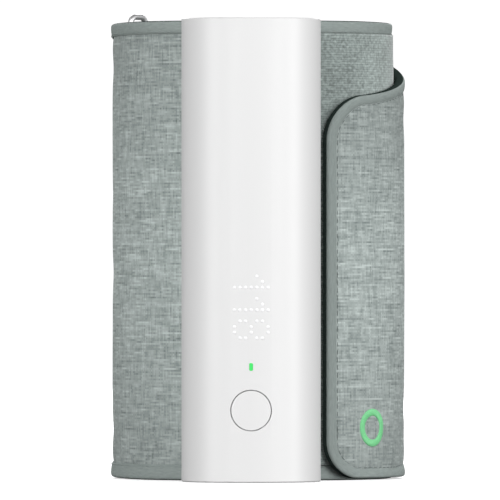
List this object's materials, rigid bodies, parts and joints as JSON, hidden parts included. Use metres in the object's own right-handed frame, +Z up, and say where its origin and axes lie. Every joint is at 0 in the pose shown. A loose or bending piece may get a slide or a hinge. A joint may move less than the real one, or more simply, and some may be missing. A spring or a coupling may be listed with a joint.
{
  "type": "upper-arm blood pressure monitor",
  "caption": "Tube-shaped pump and display unit on a fabric arm cuff, with a push button and a strap that runs through a wire ring and closes with a peel-off flap.",
  "frame": {"origin": "centre of the tube's lower end face, which the monitor stands on", "axes": "+Z up along the tube; -Y is the front with the button and display; +X is right, the side of the flap"},
  "size_m": [0.0993, 0.1382, 0.1582],
  "materials": {
    "white_abs": "satin moulded",
    "light_lens": "lit green, polished",
    "black_plastic": "matt moulded",
    "grey_plastic": "matt moulded",
    "circuit_board": "solder mask",
    "led_lens": "clear encapsulant",
    "chip_black": "moulded epoxy",
    "steel": "bright",
    "socket_steel": "stamped",
    "battery_wrap": "shrink sleeve",
    "silicone": "translucent",
    "diaphragm_rubber": "matt",
    "coil_copper": "enamelled wire and laminations",
    "heather_fabric": "woven melange",
    "pile_fabric": "ribbed loop pile",
    "lining_fabric": "smooth dark knit",
    "binding_tape": "folded tape",
    "bladder_film": "satin film",
    "stiffener_sheet": "plain sheet",
    "hook_tape": "hook fastener",
    "mint_thread": "embroidery thread",
    "chromed_wire": "polished"
  },
  "bodies": {
    "monitor": {"front_shell": "white_abs", "rear_saddle": "white_abs", "bottom_end_cap": "white_abs", "top_end_cap": "white_abs", "tact_switch": "chip_black", "light_pipe": "light_lens", "status_led": "led_lens", "display_board": "circuit_board", "led_array": "led_lens", "light_baffle": "black_plastic", "chassis": "grey_plastic", "main_board": "circuit_board", "board_chips": "chip_black", "board_screws": "steel", "charging_socket": "socket_steel", "battery_cell": "battery_wrap", "motor_can": "steel", "pump_body": "black_plastic", "pump_diaphragm": "diaphragm_rubber", "pump_cover": "black_plastic", "air_manifold": "grey_plastic", "pump_hose": "silicone", "cuff_hose": "silicone", "pressure_sensor": "chip_black", "sensor_hose": "silicone", "valve_body": "steel", "cuff_cover": "heather_fabric", "pile_panel": "pile_fabric", "clamp_plate": "grey_plastic", "clamp_screws": "steel", "stiffener": "stiffener_sheet", "bladder": "bladder_film", "cuff_lining": "lining_fabric", "strap_core": "lining_fabric", "bottom_binding": "binding_tape", "top_binding": "binding_tape", "ring_sleeve": "heather_fabric", "strap_fold": "lining_fabric", "strap_return": "heather_fabric", "return_binding": "binding_tape"},
    "button": {"button_cap": "white_abs", "switch_plunger": "black_plastic"},
    "flap": {"flap_panel": "heather_fabric", "flap_binding": "binding_tape", "hook_pad": "hook_tape", "embroidered_ring": "mint_thread"},
    "ring": {"wire_ring": "chromed_wire"},
    "rotor": {"motor_rotor": "coil_copper"},
    "valve_core": {"valve_plunger": "steel"}
  },
  "joints": [
    {"name": "button_press", "type": "slide", "parent": "monitor", "child": "button", "axis": [0, 1, 0], "range_m": [0, 0.0005], "stiffness_N_per_m": 1500},
    {"name": "flap_peel", "type": "hinge", "parent": "monitor", "child": "flap", "pos_m": [0.04935, 0.07052, 0.07], "axis": [0, 0, 1], "range_deg": [0, 90]},
    {"name": "ring_pivot", "type": "hinge", "parent": "monitor", "child": "ring", "pos_m": [-0.04114, 0.08813, 0.078], "axis": [0, 0, 1], "range_deg": [-3, 3]},
    {"name": "rotor_spin", "type": "hinge", "parent": "monitor", "child": "rotor", "pos_m": [0, -0.00003, 0.1], "axis": [0, 0, 1], "continuous": true},
    {"name": "valve_stroke", "type": "slide", "parent": "monitor", "child": "valve_core", "axis": [0, 0, 1], "range_m": [0, 0.001], "stiffness_N_per_m": 100}
  ]
}
